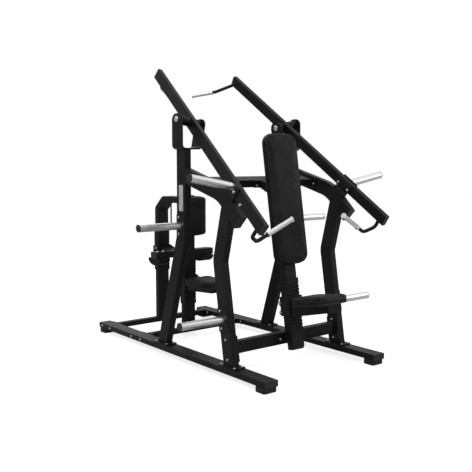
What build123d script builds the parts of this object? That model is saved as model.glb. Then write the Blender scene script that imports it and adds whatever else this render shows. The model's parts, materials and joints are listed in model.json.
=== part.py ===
from build123d import *
import math
import os

os.makedirs("parts", exist_ok=True)

# Plate-loaded chest press with a second pulldown station behind it.
# Millimetres. +X right, +Y rear, +Z up. X = 0 is the mirror plane, the floor is Z = 0.
# Right-hand pieces are drawn first and mirrored for the left.

# ---------------------------------------------------------------- base
RAIL_X = 475.0
RAIL_W = 100.0
RAIL_H = 40.0
RAIL_LENGTH = 2010.0
FOOT_HEIGHT = 35.0
FOOT_LENGTH = 90.0
RAIL_TOP = FOOT_HEIGHT + RAIL_H
# The dimensions below count Y from the middle of the rails; the press seat overhangs them.
CENTRING_Y = 29.89
RAIL_INNER = RAIL_X - RAIL_W / 2
RAIL_OUTER = RAIL_X + RAIL_W / 2
WALL = 3.0
CORNER = 5.0
PLATE = 8.0
REAR_BAR_Y = 897.0
MID_BAR_Y = 446.0
BAR_W = 50.0
BAR_FLANGE_LENGTH = 150.0
BAR_BOLT_REACH = 62.0

# ---------------------------------------------------------------- side frames
POST_W = 50.0
POST_D = 100.0
POST_Y = -123.0
POST_BEND_Z = 865.0
POST_TOP = 1425.0
POST_FOOT_Y = 127.0
FACE_OUT = RAIL_X + POST_W / 2
FACE_IN = RAIL_X - POST_W / 2
BEND_RADIUS = 90.0
LEG_FOOT_Y = -632.0
LEG_KNEE = (-523.0, 728.0)
LEG_TOP = (-607.0, 1060.0)
FOOT_PLATE_LENGTH = 165.0
SIDE_H = 100.0
SIDE_START = (-163.0, 1254.0)
SIDE_BEND = (-548.0, 1149.0)
SIDE_END = (-718.0, 983.0)
SIDE_BEND_RADIUS = 250.0
FRONT_BAR_Y = -610.0
FRONT_BAR_Z = 190.0
FRONT_BAR_H = 80.0
BEAM_Y = -348.0
BEAM_Z = 1211.0
BEAM_D = 100.0
BEAM_T = 50.0

# ---------------------------------------------------------------- pivots and arms
PIVOT = (413.0, -123.0, 1601.0)
AXIS_TILT = 10.12
ARM_RISE = 36.9
ARM_W = 35.0
ARM_H = 75.0
ARM_FRONT = 1087.0
ARM_REAR = 624.0
YOKE_W = 114.0
YOKE_T = 10.0
YOKE_IN = -71.0
YOKE_OUTER_X = 523.0
YOKE_APEX = 38.0
SHAFT_R = 12.5
RUNNING_GAP = 0.08
HUB_R = 30.0
HUB_IN = -64.0
HUB_OUT = 99.0
PIVOT_CAP_R = 20.0
HORN_R = 25.0
HORN_WALL = 3.0
HORN_REACH = 825.0
HORN_CAP = 8.0
ARM_HORN_S = -701.0
ARM_HORN_REACH = 338.0
ARM_HORN_V = 5.0
BUMPER_GAP = 0.4
BUMPER_T = 12.0
HANDLE_R = 12.0
GRIP_R = 15.0
COLLAR_R = 19.0
COLLAR_T = 8.0

# ---------------------------------------------------------------- press station
LEAN = 9.3
LEAN_AT = (0.0, -627.0, 634.0)
STEM_W = 100.0
STEM_D = 50.0
STEM_LOW = -510.0
STEM_HIGH = 665.0
RACK_W = 108.0
RACK_FRONT = 10.0
RACK_REAR = 7.0
RACK_LENGTH = 350.0
RACK_LOW = -400.0
SLOT_DEPTH = 8.0
SLOT_H = 11.0
SLOT_PITCH = 23.0
BACK_W = 276.0
BACK_LENGTH = 858.0
BACK_LOW = 40.0
BACK_T = 42.0
BOARD_T = 8.0
SEAT_W = 250.0
SEAT_LENGTH = 300.0
SEAT_T = 56.0
PAD_CORNER = 50.0
CARRIAGE_GAP = 1.5
CARRIAGE_WALL = 6.0
SUPPORT_WALL = 5.0

# ---------------------------------------------------------------- pulldown station
REAR_STEM_Y = 897.0
SEAT_STEM_Y = 523.0
SEAT_STEM_TOP = 1082.0
TOP_TUBE_Z = 1048.0
SEAT_RACK_LOW = 240.0
THIGH_RACK_LOW = 466.0
PULL_SEAT_Y = 267.0
PULL_SEAT_Z = 410.0
CHEST_W = 250.0
CHEST_LENGTH = 308.0
CHEST_T = 68.0
CHEST_LOW = 774.0
THIGH_BEAM_Y = 597.0
THIGH_BEAM_Z = 631.0
THIGH_BEAM_LENGTH = 528.0
THIGH_ARM_W = 80.0
THIGH_PAD_W = 100.0
THIGH_PAD_D = 166.0
THIGH_PAD_T = 56.0
THIGH_PAD_X = 208.0
THIGH_PAD_Y = 613.0

# ---------------------------------------------------------------- small parts
BOLT_R = 8.5
BOLT_T = 6.0
PIN_R = 6.0
KNOB_R = 14.0


def save(shape, label):
    """Shift a finished piece so that Y = 0 is halfway along the machine, and write it."""
    placed = shape.moved(Location((0, CENTRING_Y, 0)))
    placed.label = label
    export_step(placed, "parts/" + label + ".step")


def mirrored(piece):
    with BuildPart(mode=Mode.PRIVATE) as twin:
        add(piece.part.mirror(Plane.YZ))
    return twin


def save_pair(piece, name):
    twin = mirrored(piece)
    save(piece.part, "right_" + name)
    save(twin.part, "left_" + name)
    return twin


def save_both(piece, label):
    """One node holding a right-hand solid and its mirror image."""
    twin = mirrored(piece)
    with BuildPart(mode=Mode.PRIVATE) as both:
        add(piece.part)
        add(twin.part)
    save(both.part, label)


def side_plane(x):
    """Vertical plane whose own axes are machine Y and Z."""
    return Plane(origin=(x, 0, 0), x_dir=(0, 1, 0), z_dir=(1, 0, 0))


def tube_section(width, depth, wall):
    """Rounded rectangular tube section, hollow when a wall is given; drawn in the open sketch."""
    RectangleRounded(width, depth, CORNER)
    if wall:
        RectangleRounded(width - 2 * wall, depth - 2 * wall, CORNER - 2, mode=Mode.SUBTRACT)


def straight_tube(start, direction, across, width, depth, length, wall=0.0):
    plane = Plane(origin=start, x_dir=across, z_dir=direction)
    with BuildPart(mode=Mode.PRIVATE) as tube:
        with BuildSketch(plane):
            tube_section(width, depth, wall)
        extrude(amount=length)
    return tube


def bent_tube(x, points, width, depth, radius, wall=0.0):
    """Tube bent in the vertical plane at x through (y, z) points."""
    with BuildPart(mode=Mode.PRIVATE) as tube:
        with BuildLine(side_plane(x)) as path:
            FilletPolyline(*points, radius=radius)
        with BuildSketch(Plane(origin=path.line @ 0, x_dir=(1, 0, 0), z_dir=path.line % 0)):
            tube_section(width, depth, wall)
        sweep(path=path.line)
    return tube


def block(x0, x1, y0, y1, z0, z1):
    with BuildPart(mode=Mode.PRIVATE) as box:
        with Locations(((x0 + x1) / 2, (y0 + y1) / 2, (z0 + z1) / 2)):
            Box(x1 - x0, y1 - y0, z1 - z0)
    return box


def side_prism(points, x0, x1):
    """Solid with a (y, z) outline between two x positions."""
    with BuildPart(mode=Mode.PRIVATE) as prism:
        with BuildSketch(side_plane(x0)):
            with BuildLine():
                Polyline(*points, close=True)
            make_face()
        extrude(amount=x1 - x0)
    return prism


def rod(start, direction, radius, length):
    with BuildPart(mode=Mode.PRIVATE) as bar:
        with BuildSketch(Plane(origin=start, z_dir=direction)):
            Circle(radius)
        extrude(amount=length)
    return bar


def bolt_head(at, normal):
    """Button head with a hexagon socket, standing on a face."""
    with BuildPart(mode=Mode.PRIVATE) as head:
        with BuildSketch(Plane(origin=at, z_dir=normal)):
            Circle(BOLT_R)
        extrude(amount=BOLT_T)
        rim = head.faces().sort_by(Axis(at, normal))[-1].edges()
        fillet(rim, radius=BOLT_T * 0.5)
        with BuildSketch(Plane(origin=at, z_dir=normal).offset(BOLT_T)):
            RegularPolygon(radius=BOLT_R * 0.45, side_count=6)
        extrude(amount=-BOLT_T * 0.5, mode=Mode.SUBTRACT)
    return head


def vec(*values):
    return Vector(*values)


TILT = math.radians(AXIS_TILT)
RISE = math.radians(ARM_RISE)
AXIS = vec(math.cos(TILT), 0, math.sin(TILT))
ALONG = vec(-math.sin(TILT) * math.sin(RISE), math.cos(RISE), math.cos(TILT) * math.sin(RISE))
ABOVE = vec(-math.sin(TILT) * math.cos(RISE), -math.sin(RISE), math.cos(TILT) * math.cos(RISE))
HUB = vec(*PIVOT)


def arm_at(u, s, v):
    """Point in the arm's own frame: u out along the axle, s to the rear, v above."""
    return HUB + AXIS * u + ALONG * s + ABOVE * v


LEAN_ANGLE = math.radians(LEAN)
STEM_UP = vec(0, math.sin(LEAN_ANGLE), math.cos(LEAN_ANGLE))
STEM_FRONT = vec(0, -math.cos(LEAN_ANGLE), math.sin(LEAN_ANGLE))


def stem_at(x, front, up):
    """Point in the leaning stem's frame."""
    return vec(*LEAN_AT) + vec(x, 0, 0) + STEM_FRONT * front + STEM_UP * up


def stem_plane(front, up):
    """Cross-section plane of the leaning stem; its local +Y faces the rear."""
    return Plane(origin=stem_at(0, front, up), x_dir=(1, 0, 0), z_dir=STEM_UP)


# ---------------------------------------------------------------- base rails and crossbars
half_rail = RAIL_LENGTH / 2
right_rail = straight_tube(
    (RAIL_X, -half_rail, FOOT_HEIGHT + RAIL_H / 2), (0, 1, 0), (1, 0, 0), RAIL_W, RAIL_H, RAIL_LENGTH, WALL
)
save_pair(right_rail, "rail")

with BuildPart() as feet:
    for end in (-1, 1):
        for side in (-1, 1):
            centre_y = end * (half_rail - FOOT_LENGTH / 2 - 2)
            with BuildSketch(Plane.XY):
                with Locations((side * RAIL_X, centre_y)):
                    RectangleRounded(RAIL_W + 4, FOOT_LENGTH, 18)
            extrude(amount=FOOT_HEIGHT)
    fillet(feet.faces().sort_by(Axis.Z)[:4].edges(), radius=4)
save(feet.part, "rubber_feet")


def vent(y, z):
    """Weld vent running the length of a crossbar, through both its end flanges."""
    return rod((-RAIL_OUTER, y, z), (1, 0, 0), 6, 2 * RAIL_OUTER)


def crossbar(y, label, stub_to=None):
    """Low bar between the rails, with a vented flange plate at each end."""
    half = RAIL_INNER - PLATE
    bar = straight_tube((-half, y, FOOT_HEIGHT + RAIL_H / 2), (1, 0, 0), (0, 1, 0), BAR_W, RAIL_H, 2 * half, WALL)
    with BuildPart(mode=Mode.PRIVATE) as whole:
        add(bar.part)
        for side in (-1, 1):
            x0 = min(side * half, side * RAIL_INNER)
            add(block(x0, x0 + PLATE, y - BAR_FLANGE_LENGTH / 2, y + BAR_FLANGE_LENGTH / 2,
                      FOOT_HEIGHT + 1, RAIL_TOP - 1).part)
        if stub_to:
            add(block(-STEM_W / 2 - 6, STEM_W / 2 + 6, y + BAR_W / 2, stub_to, FOOT_HEIGHT, RAIL_TOP).part)
        add(vent(y, FOOT_HEIGHT + RAIL_H / 2).part, mode=Mode.SUBTRACT)
    save(whole.part, label)


crossbar(REAR_BAR_Y, "rear_crossbar")
crossbar(MID_BAR_Y, "middle_crossbar", stub_to=SEAT_STEM_Y + STEM_D / 2 + 14)

# ---------------------------------------------------------------- main posts
post_slope = (POST_FOOT_Y - POST_Y) / (POST_BEND_Z - RAIL_TOP)
post_points = [
    (POST_FOOT_Y + post_slope * 45, RAIL_TOP - 45),
    (POST_Y, POST_BEND_Z),
    (POST_Y, POST_TOP),
]
under_plate = block(RAIL_X - 80, RAIL_X + 80, -900, 400, -20, RAIL_TOP + PLATE)


def foot_plate(y):
    with BuildPart(mode=Mode.PRIVATE) as plate:
        with BuildSketch(Plane.XY.offset(RAIL_TOP)):
            with Locations((RAIL_X, y)):
                RectangleRounded(RAIL_W - 4, FOOT_PLATE_LENGTH, 8)
        extrude(amount=PLATE)
    return plate


with BuildPart() as right_main_post:
    add(bent_tube(RAIL_X, post_points, POST_W, POST_D, BEND_RADIUS, WALL).part)
    add(under_plate.part, mode=Mode.SUBTRACT)
    add(foot_plate(POST_FOOT_Y).part)
save_pair(right_main_post, "main_post")

# ---------------------------------------------------------------- side tubes, legs, front bar
side_points = [SIDE_START, SIDE_BEND, SIDE_END]
side_envelope = bent_tube(RAIL_X, side_points, POST_W, SIDE_H, SIDE_BEND_RADIUS)
post_front = POST_Y - POST_D / 2
rear_of_post_face = block(RAIL_X - 60, RAIL_X + 60, post_front, post_front + 120, 1100, 1400)
side_run = math.hypot(SIDE_BEND[0] - SIDE_START[0], SIDE_BEND[1] - SIDE_START[1])
side_back = (
    SIDE_START[0] - (SIDE_BEND[0] - SIDE_START[0]) / side_run * 30,
    SIDE_START[1] - (SIDE_BEND[1] - SIDE_START[1]) / side_run * 30,
)
bracket_origin = arm_at(0, -635, -50)
with BuildPart() as bracket_block:
    with BuildSketch(Plane(origin=bracket_origin, x_dir=AXIS, z_dir=ALONG * -1)):
        with Locations((-17, -28)):
            Rectangle(62, 56)
    extrude(amount=100)
    add(side_envelope.part, mode=Mode.SUBTRACT)
    add(block(FACE_OUT - 1, FACE_OUT + 60, -900, -500, 950, 1300).part, mode=Mode.SUBTRACT)
    add(block(FACE_IN - 60, FACE_IN + 1, -900, -500, 950, 1300).part, mode=Mode.SUBTRACT)

with BuildPart() as right_side_tube:
    add(bent_tube(RAIL_X, [side_back, SIDE_BEND, SIDE_END], POST_W, SIDE_H, SIDE_BEND_RADIUS, WALL).part)
    add(rear_of_post_face.part, mode=Mode.SUBTRACT)
    add(bracket_block.part)
save_pair(right_side_tube, "side_tube")

leg_slope = (LEG_KNEE[0] - LEG_FOOT_Y) / (LEG_KNEE[1] - RAIL_TOP)
with BuildPart() as right_front_leg:
    add(bent_tube(
        RAIL_X,
        [(LEG_FOOT_Y - leg_slope * 45, RAIL_TOP - 45), LEG_KNEE, LEG_TOP],
        POST_W, POST_D, BEND_RADIUS, WALL,
    ).part)
    add(under_plate.part, mode=Mode.SUBTRACT)
    add(side_envelope.part, mode=Mode.SUBTRACT)
    add(foot_plate(LEG_FOOT_Y).part)
lower_leg = right_front_leg.solids().sort_by(SortBy.VOLUME)[-1]
with BuildPart() as right_leg_clean:
    add(lower_leg)
save_pair(right_leg_clean, "front_leg")

leg_angle = math.atan(leg_slope)
leg_up = vec(0, math.sin(leg_angle), math.cos(leg_angle))
leg_rear = vec(0, math.cos(leg_angle), -math.sin(leg_angle))


def leg_at(x, z):
    return vec(x, LEG_FOOT_Y + leg_slope * (z - RAIL_TOP), z)


with BuildPart() as front_flange:
    with BuildSketch(Plane(origin=leg_at(FACE_IN - PLATE, FRONT_BAR_Z - 8), x_dir=leg_rear, z_dir=(1, 0, 0))):
        RectangleRounded(POST_D - 4, 165, 6)
    extrude(amount=PLATE)
front_half = FACE_IN - PLATE
front_bar = straight_tube(
    (-front_half, FRONT_BAR_Y, FRONT_BAR_Z), (1, 0, 0), (0, 1, 0), BAR_W, FRONT_BAR_H, 2 * front_half, WALL
)
with BuildPart() as front_crossbar:
    add(front_bar.part)
    add(front_flange.part)
    add(mirrored(front_flange).part)
    add(vent(FRONT_BAR_Y, FRONT_BAR_Z).part, mode=Mode.SUBTRACT)
save(front_crossbar.part, "front_crossbar")

# ---------------------------------------------------------------- upper beam
beam_half = FACE_IN - PLATE
side_angle = math.atan2(SIDE_START[1] - SIDE_BEND[1], SIDE_START[0] - SIDE_BEND[0])
side_rear = vec(0, math.cos(side_angle), math.sin(side_angle))
side_up = vec(0, -math.sin(side_angle), math.cos(side_angle))
beam_at = vec(0, BEAM_Y, BEAM_Z)
upper_bar = straight_tube(
    (-beam_half, BEAM_Y, BEAM_Z), (1, 0, 0), side_rear, BEAM_D, BEAM_T, 2 * beam_half, WALL
)
with BuildPart() as beam_flange:
    with BuildSketch(Plane(origin=(FACE_IN - PLATE, BEAM_Y, BEAM_Z - 4), x_dir=side_rear, z_dir=(1, 0, 0))):
        RectangleRounded(150, 84, 8)
    extrude(amount=PLATE)
with BuildPart() as upper_crossbeam:
    add(upper_bar.part)
    add(beam_flange.part)
    add(mirrored(beam_flange).part)
    add(vent(BEAM_Y, BEAM_Z).part, mode=Mode.SUBTRACT)
save(upper_crossbeam.part, "upper_crossbeam")

# ---------------------------------------------------------------- pivot yokes and shafts
inner_foot_x = PIVOT[0] + AXIS.X * YOKE_IN + (PIVOT[2] + AXIS.Z * YOKE_IN - POST_TOP - YOKE_T / 2) * math.tan(TILT)
inner_top = arm_at(YOKE_IN, 0, 0) + vec(-math.sin(TILT), 0, math.cos(TILT)) * YOKE_APEX
outer_top_z = PIVOT[2] + (YOKE_OUTER_X - PIVOT[0]) * math.tan(TILT) + YOKE_APEX
shaft_start = YOKE_IN - YOKE_T / 2
shaft_hole = rod(arm_at(shaft_start - 20, 0, 0), AXIS, SHAFT_R, 250)
with BuildPart() as right_yoke:
    with BuildLine(Plane(origin=(0, POST_Y, 0), x_dir=(1, 0, 0), z_dir=(0, -1, 0))) as yoke_path:
        FilletPolyline(
            (inner_top.X, inner_top.Z),
            (inner_foot_x, POST_TOP + YOKE_T / 2),
            (YOKE_OUTER_X, POST_TOP + YOKE_T / 2),
            (YOKE_OUTER_X, outer_top_z),
            radius=26,
        )
    with BuildSketch(Plane(origin=yoke_path.line @ 0, x_dir=(0, 1, 0), z_dir=yoke_path.line % 0)):
        Rectangle(YOKE_W, YOKE_T)
    sweep(path=yoke_path.line)
    tips = right_yoke.edges().filter_by(lambda e: abs(e.length - YOKE_T) < 0.01 and e.center().Z > PIVOT[2])
    fillet(tips, radius=46)
    add(shaft_hole.part, mode=Mode.SUBTRACT)
save_pair(right_yoke, "yoke")

outer_face_x = YOKE_OUTER_X + YOKE_T / 2
outer_cap_z = PIVOT[2] + (outer_face_x - PIVOT[0]) * math.tan(TILT)
with BuildPart() as right_pivot_shaft:
    add(rod(arm_at(shaft_start, 0, 0), AXIS, SHAFT_R, 215).part)
    add(block(outer_face_x, outer_face_x + 80, -300, 100, 1500, 1750).part, mode=Mode.SUBTRACT)
    add(rod((outer_face_x, POST_Y, outer_cap_z), (1, 0, 0), PIVOT_CAP_R, PLATE).part)
    add(rod(arm_at(shaft_start - PLATE, 0, 0), AXIS, PIVOT_CAP_R, PLATE).part)
    cap_rims = right_pivot_shaft.edges().filter_by(GeomType.CIRCLE)
    cap_rims = cap_rims.filter_by(lambda e: abs(e.radius - PIVOT_CAP_R) < 0.01)
    outer_rims = [cap_rims.sort_by(Axis.X)[0], cap_rims.sort_by(Axis.X)[-1]]
    fillet(outer_rims, radius=4)
save_pair(right_pivot_shaft, "pivot_shaft")

# ---------------------------------------------------------------- lever arms
arm_envelope = straight_tube(arm_at(0, -ARM_FRONT, 0), ALONG, AXIS, ARM_W, ARM_H, ARM_FRONT + ARM_REAR)
arm_bore = rod(arm_at(HUB_IN - 30, 0, 0), AXIS, SHAFT_R + RUNNING_GAP, 240)
FLANGE_T = 8.0
ARM_FACE = ARM_W / 2


def arm_plate(u, s, length, height):
    with BuildPart(mode=Mode.PRIVATE) as plate:
        with BuildSketch(Plane(origin=arm_at(u, s, 0), x_dir=ALONG, z_dir=AXIS)):
            RectangleRounded(length, height, 6)
        extrude(amount=FLANGE_T)
    return plate


with BuildPart() as right_arm:
    add(straight_tube(arm_at(0, -ARM_FRONT, 0), ALONG, AXIS, ARM_W, ARM_H, ARM_FRONT + ARM_REAR, WALL).part)
    add(rod(arm_at(HUB_IN, 0, 0), AXIS, HUB_R, HUB_OUT - HUB_IN).part)
    add(arm_plate(ARM_FACE, ARM_HORN_S, 132, ARM_H + 6).part)
    add(arm_plate(-ARM_FACE - FLANGE_T, ARM_HORN_S + 8, 134, ARM_H - 12).part)
    add(arm_bore.part, mode=Mode.SUBTRACT)
save_pair(right_arm, "arm")


def tube_cap(origin, outward, across, width, depth):
    """Plastic plug: a flat head outside and a shorter body inside the tube."""
    with BuildPart(mode=Mode.PRIVATE) as plug:
        with BuildSketch(Plane(origin=origin, x_dir=across, z_dir=outward)):
            RectangleRounded(width, depth, CORNER)
        extrude(amount=5)
        with BuildSketch(Plane(origin=origin, x_dir=across, z_dir=outward)):
            RectangleRounded(width - 2 * WALL - 0.4, depth - 2 * WALL - 0.4, CORNER - 2.2)
        extrude(amount=-18)
    return plug


def horn_cap(origin, outward):
    with BuildPart(mode=Mode.PRIVATE) as plug:
        with BuildSketch(Plane(origin=origin, z_dir=outward)):
            Circle(HORN_R)
        extrude(amount=HORN_CAP)
        rim = plug.faces().sort_by(Axis(origin, outward))[-1].edges()
        fillet(rim, radius=2.5)
        with BuildSketch(Plane(origin=origin, z_dir=outward)):
            Circle(HORN_R - HORN_WALL - 0.2)
        extrude(amount=-18)
    return plug


def horn_tube(start, direction, length):
    with BuildPart(mode=Mode.PRIVATE) as horn:
        with BuildSketch(Plane(origin=start, z_dir=direction)):
            Circle(HORN_R)
            Circle(HORN_R - HORN_WALL, mode=Mode.SUBTRACT)
        extrude(amount=length)
    return horn


horn_start = ARM_FACE + FLANGE_T
arm_up = (ABOVE.X, ABOVE.Y, ABOVE.Z)
arm_axis = (AXIS.X, AXIS.Y, AXIS.Z)
with BuildPart() as right_arm_caps:
    add(tube_cap(arm_at(0, -ARM_FRONT, 0), ALONG * -1, AXIS, ARM_W, ARM_H).part)
    add(tube_cap(arm_at(0, ARM_REAR, 0), ALONG, AXIS, ARM_W, ARM_H).part)
    add(horn_cap(arm_at(ARM_HORN_REACH, ARM_HORN_S, ARM_HORN_V), arm_axis).part)
save_pair(right_arm_caps, "arm_caps")

with BuildPart() as right_arm_horn:
    add(horn_tube(arm_at(horn_start, ARM_HORN_S, ARM_HORN_V), AXIS, ARM_HORN_REACH - horn_start).part)
    for s in (ARM_HORN_S + 56, ARM_HORN_S - 38):
        inner_axis = (-AXIS.X, -AXIS.Y, -AXIS.Z)
        add(bolt_head(arm_at(-ARM_FACE - FLANGE_T, s, -8), inner_axis).part)
    for s in (ARM_HORN_S + 36, ARM_HORN_S - 36):
        add(bolt_head(arm_at(horn_start, s, -7), arm_axis).part)
    add(bolt_head(arm_at(ARM_FACE, ARM_HORN_S - 133, -26), arm_axis).part)
save_pair(right_arm_horn, "arm_horn")


def bent_rod(points, radius, bend):
    with BuildPart(mode=Mode.PRIVATE) as piece:
        with BuildLine() as path:
            FilletPolyline(*points, radius=bend)
        with BuildSketch(Plane(origin=path.line @ 0, z_dir=path.line % 0)):
            Circle(radius)
        sweep(path=path.line)
        add(arm_envelope.part, mode=Mode.SUBTRACT)
    return piece


def grip_sleeve(start, end):
    """Grip with a collar at each end, closed over the end of the rod."""
    heading = (end - start).normalized()
    length = (end - start).length
    with BuildPart(mode=Mode.PRIVATE) as grip:
        add(rod(start, heading, GRIP_R, length).part)
        add(rod(start, heading, COLLAR_R, COLLAR_T).part)
        add(rod(end - heading * COLLAR_T, heading, COLLAR_R, COLLAR_T).part)
        rims = grip.edges().filter_by(GeomType.CIRCLE).filter_by(lambda e: abs(e.radius - COLLAR_R) < 0.01)
        fillet(rims, radius=2)
        add(rod(start - heading, heading, HANDLE_R, length - 5).part, mode=Mode.SUBTRACT)
    return grip


press_root = arm_at(0, -1042, -ARM_H / 2 + 6)
press_low = press_root - ABOVE * 63
press_grip_a = vec(393, -872, 914)
press_grip_b = vec(222, -903, 1001)
press_heading = (press_grip_b - press_grip_a).normalized()
press_turn = press_grip_a - press_heading * 84
right_press_handle = bent_rod(
    [press_root, press_low, press_turn, press_grip_b - press_heading * 6], HANDLE_R, 38
)
save_pair(right_press_handle, "press_handle")
right_press_grip = grip_sleeve(press_grip_a, press_grip_b)
save_pair(right_press_grip, "press_grip")

pull_root = arm_at(-ARM_FACE + 6, 590, -6)
pull_elbow = vec(250, 486, 1889)
pull_end = vec(113, 615, 1857)
pull_heading = (pull_end - pull_elbow).normalized()
right_pull_handle = bent_rod([pull_root, pull_elbow, pull_end - pull_heading * 6], HANDLE_R, 45)
save_pair(right_pull_handle, "pulldown_handle")
right_pull_grip = grip_sleeve(pull_elbow + pull_heading * 26, pull_end)
save_pair(right_pull_grip, "pulldown_grip")

with BuildPart() as right_bumper:
    with BuildSketch(Plane(origin=bracket_origin + ALONG * -3, x_dir=AXIS, z_dir=ALONG * -1)):
        with Locations((-17, (BUMPER_T - BUMPER_GAP) / 2)):
            Rectangle(62, BUMPER_T - BUMPER_GAP)
    extrude(amount=94)
    add(block(FACE_OUT - 3, FACE_OUT + 60, -900, -500, 950, 1300).part, mode=Mode.SUBTRACT)
    add(block(FACE_IN - 60, FACE_IN + 3, -900, -500, 950, 1300).part, mode=Mode.SUBTRACT)
save_both(right_bumper, "arm_bumpers")

# ---------------------------------------------------------------- plate horns on the frame
HORN_FLANGE_W = 90.0
HORN_FLANGE_H = 150.0
HORN_BOLT = (18.0, 55.0)
post_horn_at = (FACE_OUT, POST_Y - 2, 922.0)
storage_z = 368.0
storage_at = leg_at(FACE_OUT, storage_z)
with BuildPart() as right_horn_flanges:
    with BuildSketch(Plane(origin=post_horn_at, x_dir=(0, 1, 0), z_dir=(1, 0, 0))):
        RectangleRounded(HORN_FLANGE_W, HORN_FLANGE_H, 6)
    extrude(amount=PLATE)
    with BuildSketch(Plane(origin=storage_at, x_dir=leg_rear, z_dir=(1, 0, 0))):
        RectangleRounded(HORN_FLANGE_W, HORN_FLANGE_H, 6)
    extrude(amount=PLATE)
save_both(right_horn_flanges, "frame_horn_flanges")

horn_root = FACE_OUT + PLATE
with BuildPart() as right_frame_horns:
    add(horn_tube((horn_root, post_horn_at[1], post_horn_at[2]), (1, 0, 0), HORN_REACH - horn_root).part)
    add(horn_tube((horn_root, storage_at.Y, storage_at.Z), (1, 0, 0), HORN_REACH - horn_root).part)
save_both(right_frame_horns, "frame_horns")

side_heading = vec(0, SIDE_END[0] - SIDE_BEND[0], SIDE_END[1] - SIDE_BEND[1]).normalized()
with BuildPart() as right_caps:
    rail_mid = FOOT_HEIGHT + RAIL_H / 2
    add(tube_cap((RAIL_X, -half_rail, rail_mid), (0, -1, 0), (1, 0, 0), RAIL_W, RAIL_H).part)
    add(tube_cap((RAIL_X, half_rail, rail_mid), (0, 1, 0), (1, 0, 0), RAIL_W, RAIL_H).part)
    add(tube_cap((RAIL_X, SIDE_END[0], SIDE_END[1]), side_heading, (1, 0, 0), POST_W, SIDE_H).part)
    add(horn_cap((HORN_REACH, post_horn_at[1], post_horn_at[2]), (1, 0, 0)).part)
    add(horn_cap((HORN_REACH, storage_at.Y, storage_at.Z), (1, 0, 0)).part)
left_caps = mirrored(right_caps)
with BuildPart() as end_caps:
    add(right_caps.part)
    add(left_caps.part)
    add(tube_cap((0, SEAT_STEM_Y, SEAT_STEM_TOP), (0, 0, 1), (1, 0, 0), STEM_W, STEM_D).part)
    add(tube_cap(stem_at(0, 0, STEM_LOW), STEM_UP * -1, (1, 0, 0), STEM_W, STEM_D).part)
    add(tube_cap(stem_at(0, 0, STEM_HIGH), STEM_UP, (1, 0, 0), STEM_W, STEM_D).part)
save(end_caps.part, "end_caps")

# ---------------------------------------------------------------- press stem, brackets, back pad
stem_envelope = straight_tube(
    stem_at(0, 0, STEM_LOW), STEM_UP, (1, 0, 0), STEM_W, STEM_D, STEM_HIGH - STEM_LOW
)
press_stem = straight_tube(
    stem_at(0, 0, STEM_LOW), STEM_UP, (1, 0, 0), STEM_W, STEM_D, STEM_HIGH - STEM_LOW, WALL
)
save(press_stem.part, "press_stem")

bar_front = FRONT_BAR_Y - BAR_W / 2
beam_front = beam_at - side_rear * (BEAM_D / 2)
plate_front_face = beam_front - side_rear * PLATE
stub_corners = [
    plate_front_face + side_up * 24,
    plate_front_face - side_up * 24,
    beam_at + vec(0, -190, -100),
    beam_at + vec(0, -190, -26),
]
front_plate_up = (STEM_LOW + 2, RACK_LOW - 4)
with BuildPart() as stem_brackets:
    add(block(-96, 96, bar_front - PLATE, bar_front, FRONT_BAR_Z - 34, FRONT_BAR_Z + 34).part)
    add(block(-34, 34, bar_front - 55, bar_front - PLATE, FRONT_BAR_Z - 30, FRONT_BAR_Z + 30).part)
    with BuildSketch(Plane(origin=beam_front, x_dir=(1, 0, 0), z_dir=side_rear * -1)):
        RectangleRounded(204, BEAM_T, 5)
    extrude(amount=PLATE)
    add(side_prism([(p.Y, p.Z) for p in stub_corners], -STEM_W / 2, STEM_W / 2).part)
    add(stem_envelope.part, mode=Mode.SUBTRACT)
    middle_up = sum(front_plate_up) / 2
    with BuildSketch(Plane(origin=stem_at(0, STEM_D / 2, middle_up), x_dir=(1, 0, 0), z_dir=STEM_FRONT)):
        RectangleRounded(STEM_W, front_plate_up[1] - front_plate_up[0], 14)
    extrude(amount=6)
save(stem_brackets.part, "stem_brackets")

stem_face = STEM_D / 2
with BuildPart() as backboard:
    with BuildSketch(Plane(origin=stem_at(0, stem_face, BACK_LOW + BACK_LENGTH / 2), x_dir=(1, 0, 0), z_dir=STEM_FRONT)):
        RectangleRounded(BACK_W - 6, BACK_LENGTH - 6, 69)
    extrude(amount=BOARD_T)
save(backboard.part, "backboard")

with BuildPart() as back_pad:
    with BuildSketch(
        Plane(origin=stem_at(0, stem_face + BOARD_T, BACK_LOW + BACK_LENGTH / 2), x_dir=(1, 0, 0), z_dir=STEM_FRONT)
    ):
        RectangleRounded(BACK_W, BACK_LENGTH, 72)
    extrude(amount=BACK_T)
    front_edges = back_pad.faces().sort_by(Axis((0, 0, 0), (0, -1, 0.16)))[-1].edges()
    fillet(front_edges, radius=10)
save(back_pad.part, "back_pad")


def toothed_rack(plane):
    """Sleeve over a stem, cut into a ladder of teeth in front; plane is its lower end."""
    count = int((RACK_LENGTH - 40) / SLOT_PITCH)
    with BuildPart(mode=Mode.PRIVATE) as rack:
        with BuildSketch(plane):
            with Locations((0, (RACK_REAR - RACK_FRONT) / 2)):
                RectangleRounded(RACK_W, STEM_D + RACK_FRONT + RACK_REAR, 4)
            Rectangle(STEM_W, STEM_D, mode=Mode.SUBTRACT)
        extrude(amount=RACK_LENGTH)
        for index in range(count):
            with BuildSketch(plane.offset(26 + index * SLOT_PITCH)):
                with Locations((0, -stem_face - RACK_FRONT + SLOT_DEPTH / 2)):
                    Rectangle(RACK_W + 2, SLOT_DEPTH)
            extrude(amount=SLOT_H, mode=Mode.SUBTRACT)
    return rack


press_rack = toothed_rack(stem_plane(0, RACK_LOW))
save(press_rack.part, "press_rack")


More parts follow.
